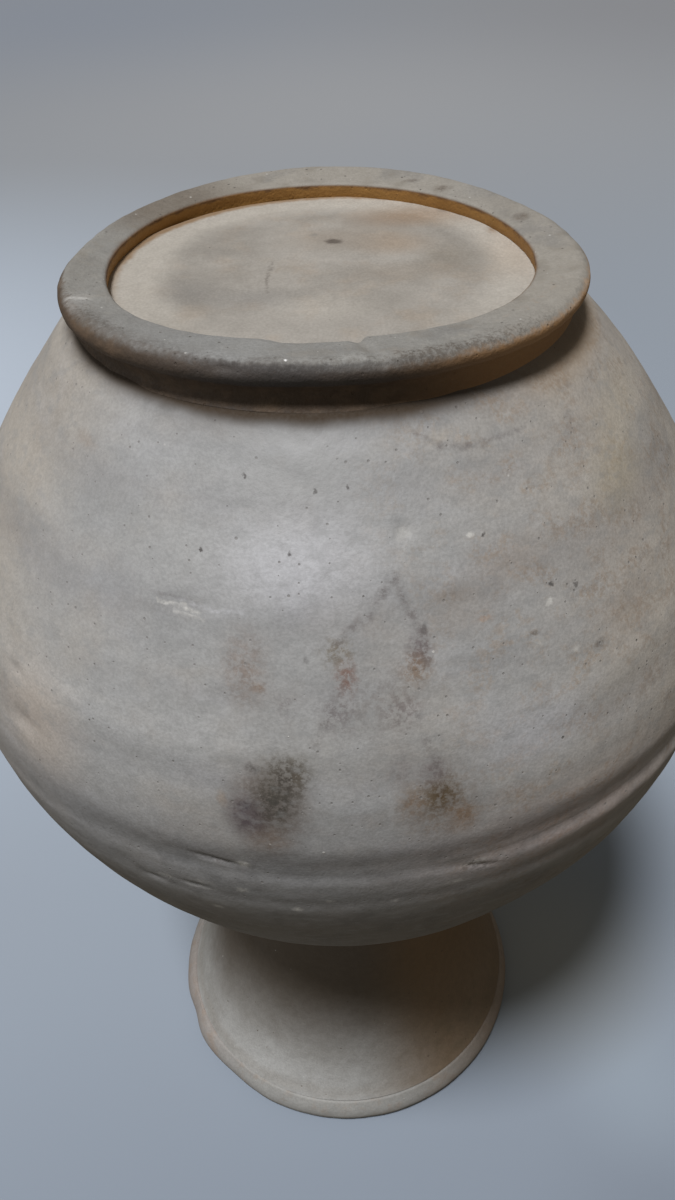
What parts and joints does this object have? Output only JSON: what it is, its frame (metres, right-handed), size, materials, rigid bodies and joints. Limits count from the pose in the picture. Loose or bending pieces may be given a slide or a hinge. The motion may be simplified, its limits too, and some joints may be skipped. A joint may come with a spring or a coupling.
{
  "type": "short-necked jar",
  "caption": "Round-bellied unglazed stoneware jar with a short flared neck and a splayed foot ring around a sunk base, set down on its mouth.",
  "frame": {"origin": "centre of the mouth plane, on the surface that the jar stands on", "axes": "+Z along the jar's axis from the mouth to the foot ring, as it stands in the picture; -Y faces the camera and +X is to its right"},
  "size_m": [0.1608, 0.1608, 0.2312],
  "materials": {
    "body_clay": "unglazed grey stoneware, fine grit, wheel ridges, brown stains",
    "foot_clay": "unglazed grey stoneware, rubbed pale on top, sandy at the edge",
    "base_clay": "unglazed cream-grey stoneware with cloudy patches",
    "neck_clay": "unglazed grey stoneware, smoothed on the wheel",
    "rim_clay": "unglazed grey stoneware, worn brown at the edge",
    "inner_clay": "rough unglazed stoneware, finger smeared"
  },
  "bodies": {
    "root": {"mouth_lip": "rim_clay", "neck_collar": "neck_clay", "neck_joint_coil": "inner_clay", "shoulder_band": "body_clay", "lower_belly_band": "body_clay", "belly_joint_coil": "inner_clay", "upper_belly_band": "body_clay", "heel_band": "body_clay", "base_disc": "base_clay", "foot_ring": "foot_clay"}
  },
  "joints": []
}
